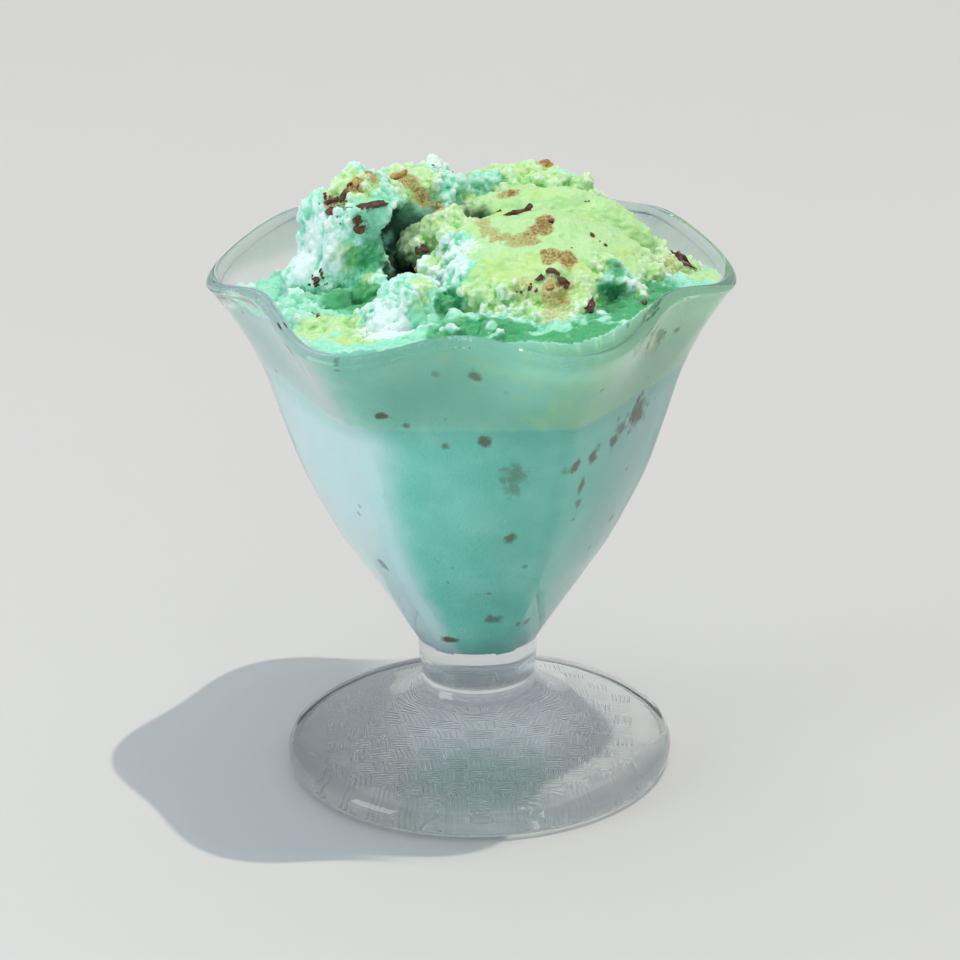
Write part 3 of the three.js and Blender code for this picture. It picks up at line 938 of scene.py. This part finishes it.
def level_at(x, y):
    """How high the gelato lies: low at both sides' walls, climbing to the lip at the front."""
    dip = 1.2 * np.exp(-((x + 44) ** 2 + (y - 4) ** 2) / 200)
    dip += 2.6 * np.exp(-((x - 47) ** 2 + (y - 4) ** 2) / 150)
    wave = np.cos(LOBES * (np.arctan2(x, -y) - LOBE_TURN))
    climb = (3.3 + 2.4 * wave) * smooth(36, 45, np.hypot(x, y)) * smooth(10, -20, y)
    return FILL_LEVEL - 0.045 * y + 0.05 * x - dip + climb


def make_fill(room):
    """The gelato inside the bowl: a craggy mound above, and the room's own form below."""
    deselect()
    bpy.ops.mesh.primitive_cylinder_add(
        vertices=96, radius=56 * MM, depth=20 * MM, location=(0, 0, 95 * MM)
    )
    mound = settle(bpy.context.object)
    mound.name = "gelato_in_bowl"
    spots = places(mound)
    top = spots[:, 2] > MOUND_SPLIT
    spots[top, 2] = level_at(spots[top, 0], spots[top, 1])
    move_to(mound, spots)
    mound = fused([mound, *(ball(*one) for one in BANK)])
    voxels(mound, FUSE_CELL)

    def upper(p, n):
        reach = np.hypot(p[:, 0], p[:, 1])
        return smooth(0.1, 0.5, n[:, 2]) * smooth(20, 30, reach) * smooth(46, 42, reach)

    grade(mound, lambda p, n: smooth(48, 41, np.hypot(p[:, 0], p[:, 1])))
    rough_up(mound, CRAGS[:2])
    mound = crumbed(mound, upper, 900, (0.6, 2.6), 21)
    voxels(mound, FILL_CELL)
    grade(mound, everywhere)
    rough_up(mound, GRIT[:2])
    deselect()
    bpy.ops.mesh.primitive_cylinder_add(
        vertices=96, radius=58 * MM, depth=70 * MM, location=(0, 0, 54.6 * MM)
    )
    cut(mound, settle(bpy.context.object), "UNION")
    wall = BVHTree.FromObject(room, bpy.context.evaluated_depsgraph_get())
    cut(mound, room, "INTERSECT")
    note_surface(mound, np.ones(len(mound.data.vertices)))
    far = [wall.find_nearest(vertex.co)[3] for vertex in mound.data.vertices]
    store(mound, "skin", smooth(0.25, 0.05, np.array(far) / MM))
    pick(mound)
    bpy.ops.object.shade_smooth_by_angle(angle=math.radians(50))
    return mound


# Brown smudges seen through the glass: where, how wide, how dark, and how much taller than wide
SMUDGES = (
    ((31.0, -15.8, 84.6), 5.2, 0.95), ((27.6, -20.0, 83.0), 2.4, 0.7),
    ((26.4, -21.2, 80.4), 1.9, 0.85, 1.6), ((22.3, -25.7, 79.8), 2.0, 0.85, 1.4),
    ((18.2, -29.3, 78.9), 2.0, 0.85), ((19.7, -25.5, 73.5), 1.0, 0.75, 4.2),
    ((19.0, -24.0, 69.0), 1.1, 0.7, 1.6), ((-17.7, -36.1, 93.1), 1.8, 0.95),
    ((-13.1, -35.2, 90.6), 1.2, 0.7), ((2.0, -35.7, 86.9), 1.8, 0.85),
    ((-5.7, -35.0, 85.7), 1.2, 0.7), ((8.0, -32.8, 78.7), 3.7, 0.5),
    ((7.4, -31.7, 75.0), 2.6, 0.45), ((6.9, -27.3, 62.7), 1.9, 0.8),
    ((-5.2, -9.5, 33.5), 2.1, 0.95), ((3.6, -14.6, 39.7), 2.2, 0.7), ((8.4, -11.4, 38.2), 1.6, 0.6),
    ((-17.0, -16.0, 53.0), 1.9, 0.6), ((25.5, -5.0, 57.8), 1.6, 0.6),
    ((0.5, -41.6, 103.1), 1.9, 0.7), ((39.9, -15.3, 102.0), 1.5, 0.7),
    ((-7.3, -41.7, 103.8), 1.3, 0.5), ((-31.0, 10.0, 72.0), 2.6, 0.7),
    ((12.0, 33.0, 76.0), 3.6, 0.7), ((18.0, 28.0, 70.0), 2.1, 0.7), ((-16.0, 32.0, 84.0), 2.7, 0.7),
    ((30.0, 14.0, 70.0), 2.1, 0.7), ((2.0, 22.0, 52.0), 2.1, 0.7),
)

# Materials


class Wire:
    """A shader socket. Arithmetic on it adds Math nodes."""

    def __init__(self, look, socket):
        self.look = look
        self.socket = socket

    def maths(self, operation, *values):
        return self.look.node("Math", {"operation": operation}, *values)

    def __add__(self, other):
        return self.maths("ADD", self, other)

    __radd__ = __add__

    def __mul__(self, other):
        return self.maths("MULTIPLY", self, other)

    __rmul__ = __mul__

    def __sub__(self, other):
        return self.maths("SUBTRACT", self, other)

    def __rsub__(self, other):
        return self.maths("SUBTRACT", other, self)

    def __truediv__(self, other):
        return self.maths("DIVIDE", self, other)

    def root(self):
        return self.maths("SQRT", self)

    def highest(self, other):
        return self.maths("MAXIMUM", self, other)

    def between(self, low, high):
        """0 below low and 1 above high, smooth between them."""
        settings = {"interpolation_type": "SMOOTHSTEP"}
        return self.look.node("MapRange", settings, self, low, high, 0.0, 1.0)


class Look:
    """One material and the nodes that it is made of."""

    def __init__(self, name):
        self.material = bpy.data.materials.new(name)
        self.material.use_nodes = True
        self.tree = self.material.node_tree
        self.tree.nodes.clear()
        self.end = self.tree.nodes.new("ShaderNodeOutputMaterial")
        self.here = self.node("TexCoord", {}, output="Object")

    def node(self, kind, settings, *values, output=0, **named):
        """Adds a node, sets it up, feeds its sockets and gives back one of its outputs."""
        made = self.tree.nodes.new("ShaderNode" + kind)
        for name, value in settings.items():
            setattr(made, name, value)
        if kind == "Mix":
            sockets = [s for s in made.inputs if s.enabled]
        else:
            sockets = list(made.inputs)
        pairs = list(zip(sockets, values))
        pairs += [(made.inputs[key.replace("_", " ")], value) for key, value in named.items()]
        for socket, value in pairs:
            if isinstance(value, Wire):
                self.tree.links.new(value.socket, socket)
            elif value is not None:
                socket.default_value = value
        if kind == "Mix":
            return Wire(self, next(s for s in made.outputs if s.enabled))
        return Wire(self, made.outputs[output])

    def noise(self, size, detail=3.0, roughness=0.55):
        """Noise whose features are about size millimetres across."""
        return self.node(
            "TexNoise",
            {},
            Vector=self.here,
            Scale=1 / (size * MM),
            Detail=detail,
            Roughness=roughness,
        )

    def cells(self, size):
        """How far each spot is from the middle of the nearest random cell."""
        return self.node(
            "TexVoronoi", {}, Vector=self.here, Scale=1 / (size * MM), output="Distance"
        )

    def attribute(self, name):
        return self.node("Attribute", {"attribute_name": name}, output="Fac")

    def blend(self, factor, a, b):
        """Mixes two colours."""
        colours = [(*c, 1) if isinstance(c, tuple) else c for c in (a, b)]
        return self.node("Mix", {"data_type": "RGBA"}, factor, *colours)

    def bump(self, height, distance, strength=1.0):
        return self.node(
            "Bump", {}, Strength=strength, Distance=distance * MM, Height=height, output="Normal"
        )

    def finish(self, shader):
        self.tree.links.new(shader.socket, self.end.inputs["Surface"])
        return self.material


def clear_glass():
    """Clear glass, tinted darker at its lip and greyed at its stem as painted shade, that lets part
    of the light through.
    """
    look = Look("clear_glass")
    ripple = look.noise(14, 1.0)
    x, y, z = (look.node("SeparateXYZ", {}, look.here, output=axis) / MM for axis in "XYZ")
    underside = z.between(0.9, 0.4)
    lip = z.between(104, 107) * (0.35 + 0.65 * y.between(-25, 5))
    # Painted shade: the stem's glass is tinted grey so that it looks darker.
    stem_shade = z.between(13, 18) * z.between(36, 31)
    lip_tint_and_stem_shade = look.blend(lip, (0.975, 0.99, 0.99), (0.7, 0.83, 0.78))
    lip_tint_and_stem_shade = look.blend(stem_shade, lip_tint_and_stem_shade, (0.81, 0.84, 0.86))
    glass = look.node(
        "BsdfPrincipled",
        {},
        Base_Color=lip_tint_and_stem_shade,
        Roughness=0.015 + 0.45 * underside,
        IOR=1.5,
        Transmission_Weight=1.0,
        Normal=look.bump(ripple, 0.35),
    )
    through_wall = look.node("BsdfTransparent", {}, (0.93, 0.96, 0.96, 1))
    through_rim = look.node("BsdfTransparent", {}, (0.2, 0.23, 0.25, 1))
    thick = (z.between(88, 94) * x.between(12, -8)).highest(z.between(14, 9) * 0.75)
    air = look.node("MixShader", {}, thick, through_wall, through_rim)
    shade = look.node("LightPath", {}, output="Is Shadow Ray")
    return look.finish(look.node("MixShader", {}, shade, glass, air))


def torn_colour(look, frost):
    """Icy on the torn crests, painted shade in deep green in the pits, partly painted shade in the
    sunk places and nearly black painted shade in the caves, swirled between.
    """
    torn = look.attribute("torn")
    crest = look.attribute("crest")
    ridge = look.attribute("ridge")
    blotch = look.noise(5.0, 2.0)
    grain = look.noise(0.8, 3.0, 0.7)
    lime = (look.attribute("lime") + (blotch - 0.5) * 0.7).between(0.3, 0.7)
    main = look.blend(lime, (0.34, 0.84, 0.6), (0.53, 0.84, 0.4))
    pit_shade_colour = look.blend(lime, (0.06, 0.56, 0.34), (0.16, 0.6, 0.1))
    pale = look.blend(lime, (0.66, 0.98, 0.86), (0.72, 0.92, 0.58))
    yellow = look.noise(7.0, 1.0).between(0.5, 0.68) * lime * 0.55
    main = look.blend(yellow, main, (0.6, 0.82, 0.24))
    main = look.blend(look.noise(9, 3.0).between(0.45, 0.7) * 0.35, main, pale)
    # Painted shade: deep green where the surface lies below its surroundings, more where it is torn.
    pit_shade = ((0.0 - ridge * 0.75 - crest * 0.25) + (grain - 0.5) * 0.5).between(0.0, 0.8)
    colour = look.blend(pit_shade * (0.15 + 0.6 * torn), main, pit_shade_colour)
    high = (ridge * 0.4 + crest * 0.4 + (grain - 0.5) * 0.9 + blotch * 0.4).between(0.1, 0.6)
    colour = look.blend(high * torn * frost, colour, pale)
    # Pale icy colour: frost, and partly painted light where it lies on the left flank.
    snow = (look.attribute("icy_and_lit") + (grain - 0.5) * 0.8 + ridge * 0.5 + crest * 0.3)
    colour = look.blend(snow.between(0.3, 0.9) * 0.85, colour, (0.85, 1.0, 0.98))
    # Deep green in sunk places: partly the gelato's own colour, partly painted shade.
    deep_green_and_shade = (look.attribute("deep_green_and_shade") + (grain - 0.5) * 0.5).between(0.2, 0.9)
    shade = look.blend(grain, (0.01, 0.21, 0.05), (0.06, 0.52, 0.17))
    colour = look.blend(deep_green_and_shade * 0.85, colour, shade)
    # Painted shade: the caves are darkened almost to black.
    colour = look.blend(look.attribute("cave") * 0.96, colour, (0.015, 0.05, 0.02))
    stipple = look.noise(0.55, 2.0)
    stain = look.attribute("caramel")
    amber = (stain + (stipple - 0.5) * 0.8).between(0.3, 1.0)
    dark = (stain + (stipple - 0.5) * 2.4).between(0.95, 1.5)
    colour = look.blend(amber * 0.75, colour, (0.5, 0.36, 0.12))
    brown = (look.attribute("brown") + (stipple - 0.5) * 1.8).between(0.5, 1.2)
    colour = look.blend(brown * 0.7, colour, (0.2, 0.13, 0.1))
    return look.blend(dark * 0.8, colour, (0.25, 0.1, 0.02))


def pressed_colour(look):
    """The gelato against the glass: streaked, paled at the sides by painted reflected light, with
    painted shade under the crease and brown smudges.
    """
    blotch = look.noise(16, 2.0)
    streak = look.noise(6, 3.0)
    x, y, z = (look.node("SeparateXYZ", {}, look.here, output=axis) for axis in "XYZ")
    across = x / (x * x + y * y + 1e-8).root()
    height = z / MM
    above = (height + (streak - 0.5) * 1.5).between(88.6, 90.2)
    colour = look.blend(blotch.between(0.35, 0.65), (0.24, 0.82, 0.67), (0.33, 0.89, 0.76))
    colour = look.blend(streak.between(0.45, 0.75) * 0.35, colour, (0.5, 1.0, 0.88))
    rag = look.noise(2.0, 2.0)
    # Painted reflected light: the gelato turns pale towards the left and right sides of the bowl,
    # most on the left.
    painted_side_light = (
        (-1, 0.34 + 0.1 * above, 0.26, 0.92, (0.76, 0.98, 1.0)),
        (1, 0.5, 0.5, 0.62, (0.7, 1.0, 0.97)),
    )
    for side, edge, soft, much, pale in painted_side_light:
        away = across * side - edge + (blotch - 0.5) * 0.25
        colour = look.blend(away.between(0, soft) * much, colour, pale)
    # Painted shade: a darker band just below the crease, under the collar's overhang.
    overhang_shade = height.between(84, 88) * height.between(89.6, 88.8)
    colour = look.blend(overhang_shade * 0.2, colour, (0.12, 0.5, 0.36))
    lime = (across * 0.8 + (streak - 0.5) * 2.2 + 0.1).between(0.0, 0.7)
    colour = look.blend(above * (0.06 + lime * 0.45), colour, (0.5, 0.95, 0.46))
    colour = look.blend(above * 0.15, colour, (0.85, 1.0, 0.72))
    fleck = look.cells(5.5).between(0.16, 0.06) * look.noise(7, 1.0).between(0.5, 0.56)
    colour = look.blend(fleck * 0.5, colour, (0.1, 0.2, 0.16))
    smudge = None
    for at, radius, depth, *tall in SMUDGES:
        squeeze = (1, 1, 1 / tall[0] if tall else 1)
        spot = look.node("VectorMath", {"operation": "MULTIPLY"}, look.here, squeeze)
        point = look.node("VectorMath", {"operation": "DISTANCE"}, spot,
                          tuple(v * k * MM for v, k in zip(at, squeeze)), output="Value")
        near = (1.0 - point / (radius * MM) + (rag - 0.5) * 1.7).between(0.0, 0.7) * depth
        smudge = near if smudge is None else smudge.highest(near)
    return look.blend(smudge, colour, (0.16, 0.13, 0.08))


def gelato(name, frost, pressed=False):
    look = Look(name)
    colour = torn_colour(look, frost)
    if pressed:
        colour = look.blend(look.attribute("skin"), colour, pressed_colour(look))
    shader = look.node(
        "BsdfPrincipled",
        {},
        Base_Color=colour,
        Roughness=0.4 + 0.2 * look.attribute("torn"),
        IOR=1.33,
        Subsurface_Weight=0.38,
        Subsurface_Radius=(0.5, 1.0, 0.7),
        Subsurface_Scale=1.8 * MM,
        Normal=look.bump(look.noise(0.45, 3.0) + look.noise(1.2, 3.0), 0.2, 0.8),
    )
    return look.finish(shader)


def plain(name, main, dark, size, roughness, shine=0.0):
    """A bit's own colour, mottled between two tones."""
    look = Look(name)
    tone = look.noise(size, 3.0).between(0.35, 0.65)
    shader = look.node(
        "BsdfPrincipled",
        {},
        Base_Color=look.blend(tone, main, dark),
        Roughness=roughness,
        Coat_Weight=shine,
        Normal=look.bump(look.noise(size / 2, 2.0), 0.12, 0.6),
    )
    return look.finish(shader)


def table_top():
    look = Look("pale_table")
    tone = look.noise(60, 3.0)
    shader = look.node(
        "BsdfPrincipled",
        {},
        Base_Color=look.blend(tone * 0.3, (0.66, 0.655, 0.65), (0.7, 0.695, 0.69)),
        Roughness=0.7,
    )
    return look.finish(shader)


def dress(obj, material, slot, *nodes):
    """Gives a piece its material and its body, and hides the nodes that it stands in for; its slot
    is not used.
    """
    obj.data.materials.clear()
    obj.data.materials.append(material)
    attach(obj, "root")
    if nodes:
        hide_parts(*nodes)


# Stage


def make_camera():
    back = Vector((0, -math.cos(CAMERA_RISE), math.sin(CAMERA_RISE)))
    right = Vector((1, 0, 0))
    up = back.cross(right)
    cos, sin = math.cos(CAMERA_ROLL), math.sin(CAMERA_ROLL)
    turned_right = right * cos + up * sin
    turned_up = up * cos - right * sin
    lens = bpy.data.cameras.new("camera")
    lens.sensor_width = SENSOR
    lens.lens = FOCAL_PIXELS / FRAME_PIXELS * SENSOR
    lens.shift_x = -CAMERA_OFF[0] / FRAME_PIXELS
    lens.shift_y = CAMERA_OFF[1] / FRAME_PIXELS
    lens.clip_start = 0.01
    camera = bpy.data.objects.new("camera", lens)
    pose = Matrix((turned_right, turned_up, back)).transposed().to_4x4()
    pose.translation = CAMERA_AIM + back * CAMERA_FAR
    camera.matrix_world = pose
    bpy.context.collection.objects.link(camera)
    bpy.context.scene.camera = camera


# The stage, whose sizes and places are in metres
FLOOR_WIDTH = 8
LIGHT_BOUNCES = 12
DIFFUSE_BOUNCES = 2
SKY_COLOUR = (0.86, 0.93, 1.0)
SKY_STRENGTH = 0.47
SUN_COLOUR = (1, 0.9, 0.76)
SUN_STRENGTH = 1.36
SUN_BLUR = math.radians(0.8)
SUN_FROM = Vector((24, -1, 106.5))
PANEL_COLOUR = (0.86, 0.94, 1.0)
# Soft panels of light: where, how many watts, and how wide
PANELS = (
    ((-0.9, -0.4, 0.32), 3.0, 0.5),
    ((0, 0.1, 1.2), 3.8, 1.4),
    ((0.3, -1.5, 0.8), 2.2, 1.2),
)


def make_stage():
    deselect()
    bpy.ops.mesh.primitive_plane_add(size=FLOOR_WIDTH, location=(0, 0, 0))
    floor = bpy.context.object
    floor.name = "table"
    floor.data.materials.append(table_top())
    world = bpy.data.worlds.new("studio")
    world.use_nodes = True
    sky = world.node_tree.nodes["Background"]
    sky.inputs["Color"].default_value = (*SKY_COLOUR, 1)
    sky.inputs["Strength"].default_value = SKY_STRENGTH
    bpy.context.scene.world = world
    lamp = bpy.data.lights.new("sun", "SUN")
    lamp.energy = SUN_STRENGTH
    lamp.color = SUN_COLOUR
    lamp.angle = SUN_BLUR
    sun = bpy.data.objects.new("sun", lamp)
    sun.rotation_euler = SUN_FROM.to_track_quat("Z", "Y").to_euler()
    bpy.context.collection.objects.link(sun)
    for place, power, size in PANELS:
        panel = bpy.data.lights.new("panel", "AREA")
        panel.energy = power
        panel.size = size
        panel.color = PANEL_COLOUR
        soft = bpy.data.objects.new("panel", panel)
        soft.location = place
        soft.rotation_euler = (Vector(place) - CAMERA_AIM).to_track_quat("Z", "Y").to_euler()
        bpy.context.collection.objects.link(soft)
    scene = bpy.context.scene
    scene.view_settings.view_transform = "Standard"
    scene.cycles.max_bounces = LIGHT_BOUNCES
    scene.cycles.transmission_bounces = LIGHT_BOUNCES
    scene.cycles.diffuse_bounces = DIFFUSE_BOUNCES


make_camera()
make_stage()
glass = make_glass()
fill = make_fill(make_room())
right, front, left, back, side = make_scoops()

dress(glass, clear_glass(), "glass", "glass")
dress(fill, gelato("fill_gelato", 0.2, pressed=True), "fill_gelato", "gelato_fill")
lime = gelato("lime_gelato", 0.7)
aqua = gelato("aqua_gelato", 0.9)
for piece, node in ((right, "scoop_right"), (back, "scoop_back"), (side, "scoop_side")):
    dress(piece, lime, "lime_gelato", node)
for piece, node in ((front, "scoop_front"), (left, "scoop_left")):
    dress(piece, aqua, "aqua_gelato", node)

ground = ground_of((fill, right, front, left, back, side))
chocolate = make_bits("chocolate_bits", CHOCOLATE, ground, SPECKS)
amber = make_bits("caramel_bits", AMBER, ground)
dress(chocolate, plain("chocolate", (0.16, 0.05, 0.02), (0.05, 0.018, 0.01), 1.5, 0.4, 0.2),
      "lime_gelato")
dress(amber, plain("caramel", (0.6, 0.4, 0.12), (0.38, 0.2, 0.05), 1.5, 0.45, 0.15),
      "lime_gelato")

bpy.context.view_layer.update()
